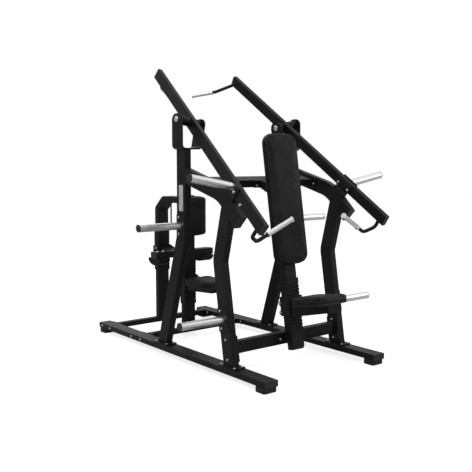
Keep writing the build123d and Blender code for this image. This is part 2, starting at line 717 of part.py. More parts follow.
def pull_pin(tip, direction, wall_at, knob_at):
    """Spring plunger: tip, shank, and a round knob outside its guide."""
    heading = vec(*direction)
    with BuildPart(mode=Mode.PRIVATE) as pin:
        add(rod(tip, heading, PIN_R, knob_at).part)
        add(rod(vec(*tip) + heading * knob_at, heading, KNOB_R, 22).part)
        rims = pin.edges().filter_by(GeomType.CIRCLE).filter_by(lambda e: abs(e.radius - KNOB_R) < 0.01)
        fillet(rims, radius=4)
    return pin


def pin_guide(at, direction, length):
    """Threaded boss that the plunger slides in."""
    heading = vec(*direction)
    with BuildPart(mode=Mode.PRIVATE) as boss:
        with BuildSketch(Plane(origin=at, z_dir=heading)):
            Circle(PIN_R + 5)
        extrude(amount=length)
    return boss


# ---------------------------------------------------------------- press seat
seat_low = -293.0
seat_high = -165.0
roller_up = (-271.0, -210.0)
tooth_front = stem_face + RACK_FRONT
inner_x = RACK_W / 2 + CARRIAGE_GAP
outer_x = inner_x + CARRIAGE_WALL
guide_r = 9.0
guide_front = -stem_face - RACK_REAR - 0.5 - guide_r
plate_front = tooth_front + 2


def stem_box(x0, x1, f0, f1, w0, w1):
    """Box given in the leaning stem's frame."""
    with BuildPart(mode=Mode.PRIVATE) as box:
        with BuildSketch(stem_plane((f0 + f1) / 2, w0)):
            with Locations(((x0 + x1) / 2, 0)):
                Rectangle(x1 - x0, f1 - f0)
        extrude(amount=w1 - w0)
    return box


seat_mid_front = 262.0
seat_base = -224.0
with BuildPart() as seat_support:
    with BuildSketch(Plane(origin=(-50, 0, 0), x_dir=(0, 1, 0), z_dir=(1, 0, 0))):
        with BuildLine():
            corner_points = [
                stem_at(0, plate_front + CARRIAGE_WALL, seat_base),
                stem_at(0, seat_mid_front + 122, seat_base),
                stem_at(0, seat_mid_front + 122, seat_base - 50),
                stem_at(0, plate_front + CARRIAGE_WALL, seat_base - 76),
            ]
            Polyline(*[(p.Y, p.Z) for p in corner_points], close=True)
        make_face()
    extrude(amount=100)

support_span = stem_box(-50 + SUPPORT_WALL, 50 - SUPPORT_WALL, plate_front + CARRIAGE_WALL,
                        seat_mid_front + 122 - SUPPORT_WALL, seat_base - 120, seat_base - SUPPORT_WALL)
with BuildPart() as press_carriage:
    for side in (-1, 1):
        x0 = min(side * inner_x, side * outer_x)
        add(stem_box(x0, x0 + CARRIAGE_WALL, guide_front, plate_front + CARRIAGE_WALL, seat_low, seat_high).part)
        for up in roller_up:
            add(rod(stem_at(x0, guide_front, up), (1, 0, 0), guide_r + 7, CARRIAGE_WALL).part)
    add(stem_box(-inner_x, inner_x, plate_front, plate_front + CARRIAGE_WALL, seat_low, seat_high).part)
    add(seat_support.part)
    add(support_span.part, mode=Mode.SUBTRACT)
    for up in roller_up:
        add(rod(stem_at(-outer_x - 1, guide_front, up), (1, 0, 0), PIN_R, 2 * outer_x + 2).part, mode=Mode.SUBTRACT)
    pin_at = stem_at(outer_x, 6, seat_low + 90)
    add(pin_guide(pin_at, (1, 0, 0), 16).part)
    add(rod(stem_at(RACK_W / 2 - 10, 6, seat_low + 90), (1, 0, 0), PIN_R + 0.35, 60).part, mode=Mode.SUBTRACT)
save(press_carriage.part, "press_seat_carriage")

with BuildPart() as press_guides:
    for up in roller_up:
        add(rod(stem_at(-inner_x + 0.4, guide_front, up), (1, 0, 0), guide_r, 2 * inner_x - 0.8).part)
        add(rod(stem_at(-outer_x, guide_front, up), (1, 0, 0), PIN_R, 2 * outer_x).part)
        for side in (-1, 1):
            add(bolt_head(tuple(stem_at(side * outer_x, guide_front, up)), (side, 0, 0)).part)
save(press_guides.part, "press_seat_guides")


def seat_pad(plane):
    with BuildPart(mode=Mode.PRIVATE) as pad:
        with BuildSketch(plane):
            RectangleRounded(SEAT_W, SEAT_LENGTH, PAD_CORNER)
        extrude(amount=SEAT_T)
        fillet(pad.faces().sort_by(Axis.Z)[-1].edges(), radius=10)
    return pad


press_pad = seat_pad(stem_plane(seat_mid_front, seat_base))
save(press_pad.part, "press_seat_pad")
press_pin = pull_pin(stem_at(RACK_W / 2 + 0.6, 6, seat_low + 90), (1, 0, 0), 0, 32)
save(press_pin.part, "press_seat_pin")

# ---------------------------------------------------------------- rear stem and top tube
rear_points = [(REAR_STEM_Y, RAIL_TOP), (REAR_STEM_Y, 966), (803, TOP_TUBE_Z), (770, TOP_TUBE_Z)]
rear_stem = bent_tube(0, rear_points, STEM_W, STEM_D, 30, WALL)
save(rear_stem.part, "rear_stem")

seat_stem_rear = SEAT_STEM_Y + STEM_D / 2
with BuildPart() as top_tube:
    add(straight_tube((0, seat_stem_rear, TOP_TUBE_Z), (0, 1, 0), (1, 0, 0), STEM_W, STEM_D,
                      770 - seat_stem_rear, WALL).part)
    add(rod((0, 756, 862), (0, 0, 1), 6, TOP_TUBE_Z - STEM_D / 2 - 862).part)
    add(rod((0, 756, 862), (0, 0, -1), 12, 6).part)
save(top_tube.part, "top_tube")


def upright_plane(y, z):
    return Plane(origin=(0, y, z), x_dir=(1, 0, 0), z_dir=(0, 0, 1))


thigh_rack = toothed_rack(upright_plane(REAR_STEM_Y, THIGH_RACK_LOW))
save(thigh_rack.part, "thigh_rack")
seat_stem = straight_tube(
    (0, SEAT_STEM_Y, RAIL_TOP), (0, 0, 1), (1, 0, 0), STEM_W, STEM_D, SEAT_STEM_TOP - RAIL_TOP, WALL
)
save(seat_stem.part, "seat_stem")
seat_rack = toothed_rack(upright_plane(SEAT_STEM_Y, SEAT_RACK_LOW))
save(seat_rack.part, "seat_rack")


def box_sleeve(y, low, high):
    """Rectangular sleeve that rides on an upright stem and its rack."""
    rear_in = y + stem_face + RACK_REAR + 1
    front_in = y - tooth_front - 2
    with BuildPart(mode=Mode.PRIVATE) as sleeve:
        add(block(-outer_x, outer_x, front_in - CARRIAGE_WALL, rear_in + CARRIAGE_WALL, low, high).part)
        add(block(-inner_x, inner_x, front_in, rear_in, low - 1, high + 1).part, mode=Mode.SUBTRACT)
    return sleeve


# ---------------------------------------------------------------- pulldown seat and chest pad
pull_low = 348.0
pull_high = 468.0
sleeve_front = SEAT_STEM_Y - tooth_front - 2 - CARRIAGE_WALL
with BuildPart() as pull_carriage:
    add(box_sleeve(SEAT_STEM_Y, pull_low, pull_high).part)
    add(side_prism(
        [
            (sleeve_front, PULL_SEAT_Z),
            (sleeve_front, PULL_SEAT_Z - 58),
            (PULL_SEAT_Y - 122, PULL_SEAT_Z - 36),
            (PULL_SEAT_Y - 122, PULL_SEAT_Z),
        ],
        -50, 50,
    ).part)
    add(block(-50 + SUPPORT_WALL, 50 - SUPPORT_WALL, PULL_SEAT_Y - 122 + SUPPORT_WALL, sleeve_front,
              PULL_SEAT_Z - 90, PULL_SEAT_Z - SUPPORT_WALL).part, mode=Mode.SUBTRACT)
    add(pin_guide((outer_x, SEAT_STEM_Y, 440), (1, 0, 0), 16).part)
    add(rod((RACK_W / 2 - 10, SEAT_STEM_Y, 440), (1, 0, 0), PIN_R + 0.35, 60).part, mode=Mode.SUBTRACT)
save(pull_carriage.part, "pulldown_seat_carriage")
pull_pad = seat_pad(upright_plane(PULL_SEAT_Y, PULL_SEAT_Z))
save(pull_pad.part, "pulldown_seat_pad")
pull_seat_pin = pull_pin((RACK_W / 2 + 0.6, SEAT_STEM_Y, 440), (1, 0, 0), 0, 32)
save(pull_seat_pin.part, "pulldown_seat_pin")

chest_plane = Plane(origin=(0, SEAT_STEM_Y - stem_face, CHEST_LOW + CHEST_LENGTH / 2), x_dir=(1, 0, 0), z_dir=(0, -1, 0))
with BuildPart() as chest_pad:
    with BuildSketch(chest_plane):
        RectangleRounded(CHEST_W, CHEST_LENGTH, 32)
    extrude(amount=CHEST_T)
    fillet(chest_pad.faces().sort_by(Axis.Y)[0].edges(), radius=10)
save(chest_pad.part, "chest_pad")

# ---------------------------------------------------------------- thigh hold-down
thigh_low = 582.0
thigh_high = 662.0
thigh_front = REAR_STEM_Y - tooth_front - 2 - CARRIAGE_WALL
beam_rear = THIGH_BEAM_Y + 40
with BuildPart() as thigh_carriage:
    add(box_sleeve(REAR_STEM_Y, thigh_low, thigh_high).part)
    add(straight_tube((0, beam_rear, THIGH_BEAM_Z), (0, 1, 0), (1, 0, 0), THIGH_ARM_W, 50,
                      thigh_front - beam_rear, WALL).part)
    add(side_prism(
        [
            (thigh_front + 2, THIGH_BEAM_Z + 24),
            (thigh_front - 150, THIGH_BEAM_Z + 24),
            (thigh_front - 144, THIGH_BEAM_Z + 31),
            (thigh_front - 56, thigh_high + 26),
            (thigh_front + 2, thigh_high + 26),
        ],
        -4, 4,
    ).part)
    guide_y = REAR_STEM_Y + stem_face + RACK_REAR + 1 + CARRIAGE_WALL
    add(pin_guide((0, guide_y, 640), (0, 1, 0), 16).part)
    add(rod((0, guide_y - 20, 640), (0, 1, 0), PIN_R + 0.35, 60).part, mode=Mode.SUBTRACT)
save(thigh_carriage.part, "thigh_carriage")
thigh_pin = pull_pin((0, REAR_STEM_Y + stem_face + RACK_REAR + 0.6, 640), (0, 1, 0), 0, 32)
save(thigh_pin.part, "thigh_pin")

thigh_beam = straight_tube(
    (-THIGH_BEAM_LENGTH / 2, THIGH_BEAM_Y, THIGH_BEAM_Z), (1, 0, 0), (0, 1, 0), 80, 50, THIGH_BEAM_LENGTH, WALL
)
save(thigh_beam.part, "thigh_beam")
with BuildPart() as thigh_caps:
    for side in (-1, 1):
        end_x = side * THIGH_BEAM_LENGTH / 2
        add(tube_cap((end_x, THIGH_BEAM_Y, THIGH_BEAM_Z), (side, 0, 0), (0, 1, 0), 80, 50).part)
save(thigh_caps.part, "thigh_caps")

thigh_pad_top = THIGH_BEAM_Z - 25
with BuildPart() as right_thigh_pad:
    with BuildSketch(side_plane(THIGH_PAD_X - THIGH_PAD_W / 2)):
        with BuildLine():
            underside = EllipticalCenterArc(
                (THIGH_PAD_Y, thigh_pad_top), THIGH_PAD_D / 2, THIGH_PAD_T, start_angle=180, arc_size=180
            )
            Line(underside @ 0, underside @ 1)
        make_face()
    extrude(amount=THIGH_PAD_W)
save_both(right_thigh_pad, "thigh_pads")

# ---------------------------------------------------------------- name plate and bolts
with BuildPart() as name_plate:
    with BuildSketch(Plane(origin=(-FACE_OUT, POST_Y - 2, 1105), x_dir=(0, -1, 0), z_dir=(-1, 0, 0))):
        RectangleRounded(46, 172, 5)
    extrude(amount=1.5)
save(name_plate.part, "name_plate")

with BuildPart() as right_bolts:
    for y in (REAR_BAR_Y - BAR_BOLT_REACH, REAR_BAR_Y + BAR_BOLT_REACH):
        add(bolt_head((RAIL_OUTER, y, FOOT_HEIGHT + RAIL_H / 2), (1, 0, 0)).part)
        add(bolt_head((RAIL_INNER - PLATE, y, FOOT_HEIGHT + RAIL_H / 2), (-1, 0, 0)).part)
    for y in (MID_BAR_Y - BAR_BOLT_REACH, MID_BAR_Y + BAR_BOLT_REACH):
        add(bolt_head((RAIL_OUTER, y, FOOT_HEIGHT + RAIL_H / 2), (1, 0, 0)).part)
        add(bolt_head((RAIL_INNER - PLATE, y, FOOT_HEIGHT + RAIL_H / 2), (-1, 0, 0)).part)
    for plate_y, reach in ((POST_FOOT_Y, 66), (LEG_FOOT_Y, 66)):
        for end in (-1, 1):
            for x in (RAIL_X - 30, RAIL_X + 30):
                add(bolt_head((x, plate_y + end * reach, RAIL_TOP + PLATE), (0, 0, 1)).part)
    for end in (-1, 1):
        back, up = HORN_BOLT
        post_bolt = vec(*post_horn_at) + vec(PLATE, back, up * end)
        add(bolt_head(tuple(post_bolt), (1, 0, 0)).part)
        storage_bolt = storage_at + vec(PLATE, 0, 0) + leg_rear * back + leg_up * (up * end)
        add(bolt_head(tuple(storage_bolt), (1, 0, 0)).part)
    for z in (FRONT_BAR_Z - 70, FRONT_BAR_Z + 54):
        add(bolt_head(tuple(leg_at(FACE_IN - PLATE, z)), (-1, 0, 0)).part)
        add(bolt_head(tuple(leg_at(FACE_OUT, z)), (1, 0, 0)).part)
    for end in (-1, 1):
        spot = vec(FACE_IN - PLATE, BEAM_Y, BEAM_Z - 4) + side_rear * (62 * end)
        add(bolt_head(tuple(spot), (-1, 0, 0)).part)
    add(bolt_head((78, bar_front - PLATE, FRONT_BAR_Z), (0, -1, 0)).part)
    bracket_bolt = plate_front_face + vec(77, 0, 0) - side_up * 8
    add(bolt_head(tuple(bracket_bolt), tuple(side_rear * -1)).part)
save_both(right_bolts, "frame_bolts")
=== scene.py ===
import bpy
import bmesh
import json
import math
from mathutils import Matrix, Vector
from mathutils.bvhtree import BVHTree


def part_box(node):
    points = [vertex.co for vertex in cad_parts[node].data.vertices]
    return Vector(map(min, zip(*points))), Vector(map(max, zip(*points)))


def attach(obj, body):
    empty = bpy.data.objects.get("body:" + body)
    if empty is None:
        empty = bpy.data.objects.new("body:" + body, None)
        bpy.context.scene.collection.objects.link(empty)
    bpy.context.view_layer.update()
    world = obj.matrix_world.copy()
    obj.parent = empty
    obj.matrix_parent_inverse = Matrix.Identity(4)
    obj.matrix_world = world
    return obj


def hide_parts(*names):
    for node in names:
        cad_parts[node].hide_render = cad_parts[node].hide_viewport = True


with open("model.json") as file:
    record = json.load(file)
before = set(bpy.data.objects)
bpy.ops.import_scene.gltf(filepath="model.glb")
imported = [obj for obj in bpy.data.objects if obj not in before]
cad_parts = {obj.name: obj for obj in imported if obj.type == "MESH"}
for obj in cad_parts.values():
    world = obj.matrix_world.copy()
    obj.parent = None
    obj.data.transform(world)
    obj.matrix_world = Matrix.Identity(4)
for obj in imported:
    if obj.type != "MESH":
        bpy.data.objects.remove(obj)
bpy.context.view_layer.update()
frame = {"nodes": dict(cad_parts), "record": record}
scene = bpy.context.scene
MM = 0.001


# ---------------------------------------------------------------- node helpers


class Surface:
    """A principled material with short helpers for procedural inputs."""

    def __init__(self, name, color, roughness, metallic=0.0):
        self.mat = bpy.data.materials.new(name)
        self.mat.use_nodes = True
        self.tree = self.mat.node_tree
        self.bsdf = self.tree.nodes["Principled BSDF"]
        self.bsdf.inputs["Base Color"].default_value = (*color, 1)
        self.bsdf.inputs["Roughness"].default_value = roughness
        self.bsdf.inputs["Metallic"].default_value = metallic
        self.coords = self.tree.nodes.new("ShaderNodeTexCoord").outputs["Object"]
        self.bump_out = None

    def link(self, a, b):
        self.tree.links.new(a, b)

    def stretched(self, scale):
        mapping = self.tree.nodes.new("ShaderNodeMapping")
        mapping.inputs["Scale"].default_value = scale
        self.link(self.coords, mapping.inputs["Vector"])
        return mapping.outputs["Vector"]

    def noise(self, scale, detail, vector=None):
        node = self.tree.nodes.new("ShaderNodeTexNoise")
        node.inputs["Scale"].default_value = scale
        node.inputs["Detail"].default_value = detail
        self.link(vector or self.coords, node.inputs["Vector"])
        return node.outputs["Fac"]

    def cells(self, scale):
        node = self.tree.nodes.new("ShaderNodeTexVoronoi")
        node.feature = "DISTANCE_TO_EDGE"
        node.inputs["Scale"].default_value = scale
        self.link(self.coords, node.inputs["Vector"])
        return node.outputs["Distance"]

    def waves(self, scale, rotation):
        mapping = self.tree.nodes.new("ShaderNodeMapping")
        mapping.inputs["Rotation"].default_value = rotation
        self.link(self.coords, mapping.inputs["Vector"])
        node = self.tree.nodes.new("ShaderNodeTexWave")
        node.inputs["Scale"].default_value = scale
        self.link(mapping.outputs["Vector"], node.inputs["Vector"])
        return node.outputs["Fac"]

    def remap(self, value, low, high, start=0.3, stop=0.7):
        node = self.tree.nodes.new("ShaderNodeMapRange")
        node.inputs["From Min"].default_value = start
        node.inputs["From Max"].default_value = stop
        node.inputs["To Min"].default_value = low
        node.inputs["To Max"].default_value = high
        self.link(value, node.inputs["Value"])
        return node.outputs["Result"]

    def vary_color(self, value, dark, light, start=0.35, stop=0.65):
        ramp = self.tree.nodes.new("ShaderNodeValToRGB")
        ramp.color_ramp.elements[0].position = start
        ramp.color_ramp.elements[0].color = (*dark, 1)
        ramp.color_ramp.elements[1].position = stop
        ramp.color_ramp.elements[1].color = (*light, 1)
        self.link(value, ramp.inputs["Fac"])
        self.link(ramp.outputs["Color"], self.bsdf.inputs["Base Color"])

    def vary_roughness(self, value, low, high):
        self.link(self.remap(value, low, high), self.bsdf.inputs["Roughness"])

    def bump(self, value, depth_mm, strength=1.0):
        """Adds a bump layer; depth_mm is the height between the value's 0 and 1."""
        node = self.tree.nodes.new("ShaderNodeBump")
        node.inputs["Distance"].default_value = depth_mm * MM
        node.inputs["Strength"].default_value = strength
        self.link(value, node.inputs["Height"])
        if self.bump_out is not None:
            self.link(self.bump_out, node.inputs["Normal"])
        self.bump_out = node.outputs["Normal"]
        self.link(self.bump_out, self.bsdf.inputs["Normal"])


# ---------------------------------------------------------------- materials
PAINT_SPECULAR = 0.2
VINYL_SPECULAR = 0.15
GRIP_METALLIC = 0.6
KNURL_PITCH = 260.0
KNURL_DEPTH_MM = 0.06


def powder_coat(name, dark, light, low_rough, high_rough):
    s = Surface(name, light, low_rough)
    s.bsdf.inputs["Specular IOR Level"].default_value = PAINT_SPECULAR
    s.vary_color(s.noise(5.0, 4.0), dark, light)
    s.vary_roughness(s.noise(14.0, 5.0), low_rough, high_rough)
    s.bump(s.noise(650.0, 2.0), 0.10, 0.55)
    s.bump(s.noise(60.0, 2.0), 0.25, 0.25)
    return s.mat


def chrome(name, low_rough, high_rough):
    s = Surface(name, (0.90, 0.91, 0.92), low_rough, 1.0)
    s.vary_roughness(s.noise(30.0, 6.0), low_rough, high_rough)
    return s.mat


def knurled():
    s = Surface("grip_knurled_chrome", (0.95, 0.95, 0.95), 0.32, GRIP_METALLIC)
    s.vary_roughness(s.noise(40.0, 4.0), 0.28, 0.4)
    for lean in (1, -1):
        s.bump(s.waves(KNURL_PITCH, (0.5, 0.8 * lean, 0.4 * lean)), KNURL_DEPTH_MM, 0.25)
    return s.mat


def vinyl():
    s = Surface("pad_black_vinyl", (0.016, 0.016, 0.017), 0.45)
    s.bsdf.inputs["Specular IOR Level"].default_value = VINYL_SPECULAR
    s.bsdf.inputs["Coat Weight"].default_value = 0.04
    s.bsdf.inputs["Coat Roughness"].default_value = 0.35
    s.vary_color(s.noise(9.0, 5.0), (0.008, 0.008, 0.009), (0.016, 0.016, 0.017))
    s.vary_roughness(s.noise(22.0, 5.0), 0.4, 0.54)
    s.bump(s.noise(24.0, 3.0), 1.2, 0.18)
    s.bump(s.remap(s.cells(520.0), 0.0, 1.0, 0.0, 0.12), 0.16, 0.5)
    s.bump(s.noise(1400.0, 2.0), 0.05, 0.4)
    return s.mat


def moulded(name, color, rough, grain_mm):
    s = Surface(name, color, rough)
    lighter = tuple(min(1.0, c * 1.35 + 0.002) for c in color)
    s.vary_color(s.noise(16.0, 4.0), color, lighter)
    s.vary_roughness(s.noise(30.0, 4.0), rough - 0.06, rough + 0.08)
    s.bump(s.noise(900.0, 2.0), grain_mm, 0.5)
    return s.mat


def painted_board():
    s = Surface("board_black_paint", (0.02, 0.02, 0.02), 0.6)
    s.vary_color(s.noise(8.0, 4.0), (0.014, 0.014, 0.014), (0.026, 0.025, 0.024))
    s.bump(s.noise(120.0, 4.0, s.stretched((1.0, 1.0, 0.08))), 0.3, 0.5)
    return s.mat


def zinc():
    s = Surface("bolt_bright_zinc", (0.66, 0.67, 0.69), 0.25, 1.0)
    s.vary_roughness(s.noise(180.0, 4.0), 0.2, 0.36)
    s.bump(s.noise(700.0, 3.0), 0.04, 0.5)
    return s.mat


LOOKS = {
    "frame_paint": powder_coat(
        "frame_satin_black", (0.009, 0.009, 0.010), (0.014, 0.014, 0.015), 0.34, 0.46
    ),
    "rack_paint": powder_coat(
        "rack_matt_black", (0.008, 0.008, 0.009), (0.013, 0.013, 0.014), 0.46, 0.6
    ),
    "horn_chrome": chrome("horn_polished_chrome", 0.24, 0.34),
    "grip_chrome": knurled(),
    "shaft_chrome": chrome("shaft_polished_chrome", 0.12, 0.2),
    "pin_chrome": chrome("pin_polished_chrome", 0.1, 0.2),
    "bolt_steel": zinc(),
    "cap_plastic": moulded("cap_moulded_plastic", (0.014, 0.014, 0.015), 0.5, 0.06),
    "rubber": moulded("foot_rubber", (0.012, 0.012, 0.012), 0.78, 0.12),
    "pad_vinyl": vinyl(),
    "board": painted_board(),
    "label_white": moulded("label_white", (0.62, 0.62, 0.62), 0.4, 0.02),
}
SLOT_OF = {entry["node"]: entry["material_slot"] for entry in frame["record"]["subparts"]}
BODY_OF = {}
for body_name, members in frame["record"]["behaviour"]["bodies"].items():
    for member in members:
        BODY_OF[member] = body_name


def paint(obj, material):
    if not obj.material_slots:
        obj.data.materials.append(material)
    for entry in obj.material_slots:
        entry.link = "OBJECT"
        entry.material = material


for node_name, node_object in frame["nodes"].items():
    paint(node_object, LOOKS[SLOT_OF[node_name]])


# ---------------------------------------------------------------- upholstery
LEAN = math.radians(9.3)
UP = Vector((0, 0, 1))
SIDE = Vector((1, 0, 0))
LEAN_UP = Vector((0, math.sin(LEAN), math.cos(LEAN)))
LEAN_FRONT = Vector((0, -math.cos(LEAN), math.sin(LEAN)))
REAR = Vector((0, 1, 0))
SIM_FRAMES = 20
PRESSURE = 4.0
SWELL_CAP = 0.005
SHRINK = 0.004
PIN_DEPTH = 0.009
END_DEPTH = 0.003
COARSE_VOXEL = 0.0070
VOXEL = 0.0055
FINE_VOXEL = 0.0038
SEAT_BOARD = 0.010
BOARD_INSET = 0.007
BOARD_OVERLAP = 0.001
BOARD_BEVEL = 0.0015
BOARD_POINT_SPACING = 0.01
SEAM_INSET = 0.013
STITCH_PITCH = 0.0065
STITCH_LENGTH = 0.0046
THREAD = 0.0011
RAY_HEIGHT = 0.5
THREAD_LOOK = moulded("thread_black", (0.02, 0.02, 0.021), 0.6, 0.02)


def local_frame(node, across, along, out):
    """Matrix from a pad's own axes (across, along, outward) to the row frame, about its box centre."""
    low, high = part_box(node)
    centre = (Vector(low) + Vector(high)) / 2
    axes = Matrix((across, along, out)).transposed().to_4x4()
    return Matrix.Translation(centre) @ axes


def new_object(name, mesh):
    obj = bpy.data.objects.new(name, mesh)
    scene.collection.objects.link(obj)
    return obj


def applied(obj):
    """The object's mesh with its modifiers applied, which then replaces its own mesh."""
    graph = bpy.context.evaluated_depsgraph_get()
    mesh = bpy.data.meshes.new_from_object(obj.evaluated_get(graph))
    obj.modifiers.clear()
    obj.data = mesh
    return mesh


def swell(obj, pressure, cap, flat_ends):
    """Inflates a closed mesh as cloth, with its flat back pinned; no point moves further than cap."""
    rest = [v.co.copy() for v in obj.data.vertices]
    back = min(co.z for co in rest)
    held = {i for i, co in enumerate(rest) if co.z < back + PIN_DEPTH}
    if flat_ends:
        first = min(co.x for co in rest)
        last = max(co.x for co in rest)
        held |= {i for i, co in enumerate(rest) if min(co.x - first, last - co.x) < END_DEPTH}
    pins = obj.vertex_groups.new(name="back")
    pins.add(sorted(held), 1.0, "REPLACE")
    cloth = obj.modifiers.new("cloth", "CLOTH")
    cloth.settings.vertex_group_mass = "back"
    cloth.settings.use_pressure = True
    cloth.settings.uniform_pressure_force = pressure
    cloth.settings.effector_weights.gravity = 0.0
    cloth.settings.quality = 5
    cloth.point_cache.frame_start = 1
    cloth.point_cache.frame_end = SIM_FRAMES
    for number in range(1, SIM_FRAMES + 1):
        scene.frame_set(number)
    graph = bpy.context.evaluated_depsgraph_get()
    moved = [v.co.copy() for v in obj.evaluated_get(graph).data.vertices]
    obj.modifiers.clear()
    obj.vertex_groups.clear()
    for vertex, before, after in zip(obj.data.vertices, rest, moved):
        step = after - before
        if step.length > cap:
            step = step * (cap / step.length)
        vertex.co = before + step
    scene.frame_set(1)


def slab(outline, low, high, bevel):
    """Closed mesh of a flat outline between two heights, with its long edges bevelled."""
    bm = bmesh.new()
    face = bm.faces.new([bm.verts.new((x, y, low)) for x, y in outline])
    grown = bmesh.ops.extrude_face_region(bm, geom=[face])
    lifted = [item for item in grown["geom"] if isinstance(item, bmesh.types.BMVert)]
    bmesh.ops.translate(bm, verts=lifted, vec=(0, 0, high - low))
    bmesh.ops.recalc_face_normals(bm, faces=bm.faces)
    flat_edges = [e for e in bm.edges if abs(e.verts[0].co.z - e.verts[1].co.z) < 1e-6]
    bmesh.ops.bevel(bm, geom=flat_edges, offset=bevel, segments=2, profile=0.6, affect="EDGES")
    mesh = bpy.data.meshes.new("slab")
    bm.to_mesh(mesh)
    bm.free()
    return mesh


def rounded_outline(half_x, half_y, corner, spacing):
    """Points round a rounded rectangle, counter-clockwise, about evenly spaced."""
    runs = []
    for cx, cy, start in ((1, 1, 0.0), (-1, 1, 0.5), (-1, -1, 1.0), (1, -1, 1.5)):
        centre = Vector((cx * (half_x - corner), cy * (half_y - corner)))
        steps = max(4, round(corner * math.pi / 2 / spacing))
        for index in range(steps + 1):
            angle = (start + 0.5 * index / steps) * math.pi
            runs.append(centre + corner * Vector((math.cos(angle), math.sin(angle))))
    points = []
    for index, here in enumerate(runs):
        after = runs[(index + 1) % len(runs)]
        count = max(1, round((after - here).length / spacing))
        points += [here.lerp(after, k / count) for k in range(count)]
    return points


def extents(mesh):
    """The two opposite corners of a mesh's box."""
    low = Vector([min(v.co[i] for v in mesh.vertices) for i in range(3)])
    high = Vector([max(v.co[i] for v in mesh.vertices) for i in range(3)])
    return low, high


def fit_box(mesh, low, high):
    """Scales a mesh to fill a box exactly."""
    least, most = extents(mesh)
    for vertex in mesh.vertices:
        for i in range(3):
            share = (vertex.co[i] - least[i]) / (most[i] - least[i])
            vertex.co[i] = low[i] + share * (high[i] - low[i])


def stitches(name, cushion_mesh, place, half_x, half_y, corner, owner):
    """A row of thread stitches lying in the cover, a little in from the cushion's edge."""
    tree = BVHTree.FromPolygons(
        [v.co for v in cushion_mesh.vertices], [tuple(p.vertices) for p in cushion_mesh.polygons]
    )
    route = rounded_outline(half_x, half_y, corner, STITCH_PITCH)
    on_cover = []
    for point in route:
        hit, normal = tree.ray_cast(Vector((point.x, point.y, RAY_HEIGHT)), -UP)[:2]
        if hit is not None:
            on_cover.append((hit, normal))
    bm = bmesh.new()
    for (here, normal), (after, _) in zip(on_cover, on_cover[1:] + on_cover[:1]):
        heading = (after - here).normalized()
        turn = Matrix((heading, normal.cross(heading).normalized(), normal)).transposed().to_4x4()
        size = Matrix.Diagonal((STITCH_LENGTH / 2, THREAD / 2, THREAD / 2, 1.0))
        middle = Matrix.Translation((here + after) / 2)
        made = bmesh.ops.create_icosphere(bm, subdivisions=1, radius=1.0)
        bmesh.ops.transform(bm, matrix=middle @ turn @ size, verts=made["verts"])
    mesh = bpy.data.meshes.new(name)
    bm.to_mesh(mesh)
    bm.free()
    for polygon in mesh.polygons:
        polygon.use_smooth = True
    mesh.transform(place)
    obj = new_object(name, mesh)
    paint(obj, THREAD_LOOK)
    obj.parent = owner


def pad_solid(node, part, place):
    """A pad's CAD mesh in the pad's own axes; part is the direction of the one solid kept of several."""
    mesh = frame["nodes"][node].data.copy()
    mesh.transform(place.inverted())
    if part:
        bm = bmesh.new()
        bm.from_mesh(mesh)
        away = [v for v in bm.verts if v.co.dot(Vector(part)) < 0]
        bmesh.ops.delete(bm, geom=away, context="VERTS")
        bm.to_mesh(mesh)
        bm.free()
    return mesh


def even_mesh(obj, voxel, smoothing):
    """Rebuilds a closed mesh from small even faces, ready for the cloth simulation."""
    weld = obj.modifiers.new("weld", "WELD")
    weld.merge_threshold = 0.0002
    remesh = obj.modifiers.new("remesh", "REMESH")
    remesh.mode = "VOXEL"
    remesh.voxel_size = voxel
    smooth = obj.modifiers.new("smooth", "SMOOTH")
    smooth.factor = 0.5
    smooth.iterations = smoothing
    applied(obj)


def backing_board(name, half_x, half_y, corner, low, high, place, owner):
    """Painted plywood board that closes the back of a cushion."""
    outline = rounded_outline(
        half_x - BOARD_INSET, half_y - BOARD_INSET, corner - BOARD_INSET, BOARD_POINT_SPACING
    )
    mesh = slab([(p.x, p.y) for p in outline], low, high + BOARD_OVERLAP, BOARD_BEVEL)
    mesh.transform(place)
    obj = new_object(name, mesh)
    paint(obj, LOOKS["board"])
    obj.parent = owner


def cushion(name, node, part, across, along, out, voxel, board, corner):
    """Upholstered pad that stands for one solid of a CAD node, swollen by a short cloth simulation.

    A pad with a corner radius is a sewn flat cushion, on a backing board if board is its thickness;
    a pad without one is a wrapped roll with flat ends.
    """
    place = local_frame(node, across, along, out)
    mesh = pad_solid(node, part, place)
    low, high = extents(mesh)
    base = low.z
    low.z += board
    fit_box(
        mesh,
        (low.x + SHRINK, low.y + SHRINK, low.z),
        (high.x - SHRINK, high.y - SHRINK, high.z - SHRINK),
    )
    obj = new_object(name, mesh)
    even_mesh(obj, voxel, 3 if corner else 2)
    swell(obj, PRESSURE, SWELL_CAP, flat_ends=not corner)
    subdivide = obj.modifiers.new("subdivide", "SUBSURF")
    subdivide.levels = 1
    subdivide.render_levels = 1
    mesh = applied(obj)
    fit_box(mesh, low, high)
    for polygon in mesh.polygons:
        polygon.use_smooth = True
    paint(obj, LOOKS["pad_vinyl"])
    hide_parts(node)
    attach(obj, BODY_OF[node])
    if not corner:
        mesh.transform(place)
        return
    half_x = (high.x - low.x) / 2
    half_y = (high.y - low.y) / 2
    middle = (low + high) / 2
    middle.z = 0
    shift = place @ Matrix.Translation(middle)
    mesh.transform(Matrix.Translation(-middle))
    stitches(name + "_stitches", mesh, shift, half_x - SEAM_INSET, half_y - SEAM_INSET,
             corner - SEAM_INSET, obj)
    mesh.transform(shift)
    if board:
        backing_board(name.replace("cushion", "board"), half_x, half_y, corner, base, low.z, shift, obj)


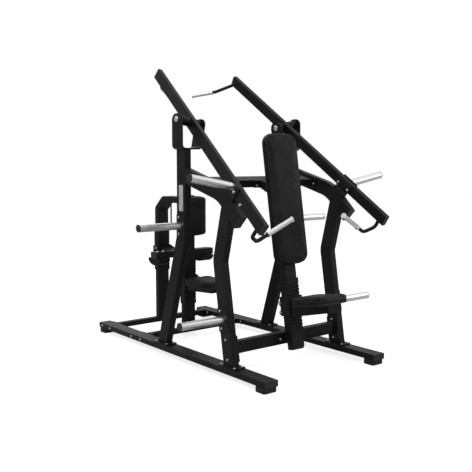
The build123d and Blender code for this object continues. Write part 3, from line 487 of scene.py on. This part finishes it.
PADS = [
    ("back_cushion", "back_pad", None, SIDE, LEAN_UP, LEAN_FRONT, COARSE_VOXEL, 0.0, 0.072),
    ("press_seat_cushion", "press_seat_pad", None, SIDE, -LEAN_FRONT, LEAN_UP, VOXEL, SEAT_BOARD, 0.050),
    ("pulldown_seat_cushion", "pulldown_seat_pad", None, SIDE, REAR, UP, VOXEL, SEAT_BOARD, 0.050),
    ("chest_cushion", "chest_pad", None, SIDE, UP, -REAR, VOXEL, SEAT_BOARD, 0.032),
    ("right_thigh_cushion", "thigh_pads", (1, 0, 0), SIDE, -REAR, -UP, FINE_VOXEL, 0.0, 0.0),
    ("left_thigh_cushion", "thigh_pads", (-1, 0, 0), SIDE, -REAR, -UP, FINE_VOXEL, 0.0, 0.0),
]
for pad in PADS:
    cushion(*pad)


# ---------------------------------------------------------------- bolts on the thigh hold-down
BOLT_RADIUS = 0.0085
BOLT_CROWN = 0.72
BOLT_HEIGHT = 0.006
BOLT_SIDES = 20
PAD_BOLTS_X = (0.182, 0.234)
ARM_BOLTS_X = 0.028
ARM_BOLTS_BEHIND = 0.052
SLEEVE_BOLTS_FORWARD = 0.055
SLEEVE_BOLTS_Z = (0.600, 0.644)


def bolts(name, spots, normal, body):
    """Rounded bright bolt heads standing on a face, all in one piece."""
    bm = bmesh.new()
    turn = Vector(normal).to_track_quat("Z", "Y").to_matrix().to_4x4()
    for spot in spots:
        made = bmesh.ops.create_cone(
            bm, cap_ends=True, segments=BOLT_SIDES, radius1=BOLT_RADIUS,
            radius2=BOLT_RADIUS * BOLT_CROWN, depth=BOLT_HEIGHT
        )
        at = Matrix.Translation(Vector(spot) + Vector(normal) * BOLT_HEIGHT / 2)
        bmesh.ops.transform(bm, matrix=at @ turn, verts=made["verts"])
    mesh = bpy.data.meshes.new(name)
    bm.to_mesh(mesh)
    bm.free()
    obj = new_object(name, mesh)
    paint(obj, LOOKS["bolt_steel"])
    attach(obj, body)


beam_low, beam_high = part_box("thigh_beam")
beam_y = (beam_low[1] + beam_high[1]) / 2
beam_top = beam_high[2]
near_bolt, far_bolt = PAD_BOLTS_X
pad_spots = [(x, beam_y, beam_top) for x in (-far_bolt, -near_bolt, near_bolt, far_bolt)]
arm_spots = [(x, beam_y + ARM_BOLTS_BEHIND, beam_top) for x in (-ARM_BOLTS_X, ARM_BOLTS_X)]
bolts("thigh_pad_bolts", pad_spots, (0, 0, 1), "thigh_unit")
bolts("thigh_arm_bolts", arm_spots, (0, 0, 1), "thigh_unit")
sleeve_low, sleeve_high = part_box("thigh_carriage")
side_spots = [(sleeve_low[0], sleeve_high[1] - SLEEVE_BOLTS_FORWARD, z) for z in SLEEVE_BOLTS_Z]
bolts("thigh_sleeve_bolts_left", side_spots, (-1, 0, 0), "thigh_unit")
bolts("thigh_sleeve_bolts_right", [(-x, y, z) for x, y, z in side_spots], (1, 0, 0), "thigh_unit")


# ---------------------------------------------------------------- stage, light, camera
FLOOR_REACH = 400.0
FLOOR_GLOW = 0.78
BACKDROP = 1.0
HORIZON_LIGHT = 0.10
ZENITH_LIGHT = 0.30
REFLECTED_GAIN = 3.5
LAMP_SIZE = 2.5
CAMERA_AT = Vector((-3.143, -3.9941, 1.3365))
CAMERA_AIM = Vector((0.620, 0.778, -0.1023))
CAMERA_ANGLE = math.radians(36.74)


def plain_stage():
    """Pale floor that fades into the white behind it."""
    mesh = bpy.data.meshes.new("floor")
    corners = [(x * FLOOR_REACH, y * FLOOR_REACH, 0) for x, y in ((-1, -1), (1, -1), (1, 1), (-1, 1))]
    mesh.from_pydata(corners, [], [(0, 1, 2, 3)])
    floor = new_object("floor", mesh)
    s = Surface("floor_pale", (0.8, 0.8, 0.8), 0.9)
    s.vary_color(s.noise(0.7, 2.0), (0.79, 0.79, 0.79), (0.81, 0.81, 0.81))
    seen = s.tree.nodes.new("ShaderNodeLightPath").outputs["Is Camera Ray"]
    s.bsdf.inputs["Emission Color"].default_value = (1, 1, 1, 1)
    s.link(s.remap(seen, 0.0, FLOOR_GLOW, 0.0, 1.0), s.bsdf.inputs["Emission Strength"])
    paint(floor, s.mat)


def area_light(name, at, target, power):
    """Square studio lamp at a place, turned to a target."""
    data = bpy.data.lights.new(name, "AREA")
    data.shape = "SQUARE"
    data.size = LAMP_SIZE
    data.energy = power
    obj = new_object(name, data)
    obj.location = at
    obj.rotation_euler = (Vector(target) - Vector(at)).to_track_quat("-Z", "Y").to_euler()


def studio_world():
    """Plain white behind the object, and a dimmer, graded surround for light and reflections."""
    world = bpy.data.worlds.new("studio")
    world.use_nodes = True
    tree = world.node_tree
    background = tree.nodes["Background"]
    background.inputs["Color"].default_value = (1, 1, 1, 1)
    direction = tree.nodes.new("ShaderNodeTexCoord").outputs["Generated"]
    split = tree.nodes.new("ShaderNodeSeparateXYZ")
    tree.links.new(direction, split.inputs["Vector"])
    grade = tree.nodes.new("ShaderNodeMapRange")
    grade.inputs["To Min"].default_value = HORIZON_LIGHT
    grade.inputs["To Max"].default_value = ZENITH_LIGHT
    tree.links.new(split.outputs["Z"], grade.inputs["Value"])
    path = tree.nodes.new("ShaderNodeLightPath")
    gain = tree.nodes.new("ShaderNodeMapRange")
    gain.inputs["To Min"].default_value = 1.0
    gain.inputs["To Max"].default_value = REFLECTED_GAIN
    tree.links.new(path.outputs["Is Glossy Ray"], gain.inputs["Value"])
    lit = tree.nodes.new("ShaderNodeMath")
    lit.operation = "MULTIPLY"
    tree.links.new(grade.outputs["Result"], lit.inputs[0])
    tree.links.new(gain.outputs["Result"], lit.inputs[1])
    choose = tree.nodes.new("ShaderNodeMix")
    choose.inputs["B"].default_value = BACKDROP
    tree.links.new(path.outputs["Is Camera Ray"], choose.inputs["Factor"])
    tree.links.new(lit.outputs["Value"], choose.inputs["A"])
    tree.links.new(choose.outputs["Result"], background.inputs["Strength"])
    scene.world = world


plain_stage()
studio_world()
area_light("key", (-3.5, -3.0, 4.5), (0, 0, 0.9), 90)
area_light("fill", (4.5, -3.0, 2.5), (0, 0, 0.9), 35)
area_light("back", (1.0, 4.5, 4.0), (0, 0, 1.0), 60)

scene.view_settings.view_transform = "Standard"

camera_data = bpy.data.cameras.new("camera")
camera_data.sensor_fit = "HORIZONTAL"
camera_data.angle = CAMERA_ANGLE
camera = new_object("camera", camera_data)
camera.location = CAMERA_AT
camera.rotation_euler = CAMERA_AIM.to_track_quat("-Z", "Y").to_euler()
scene.camera = camera
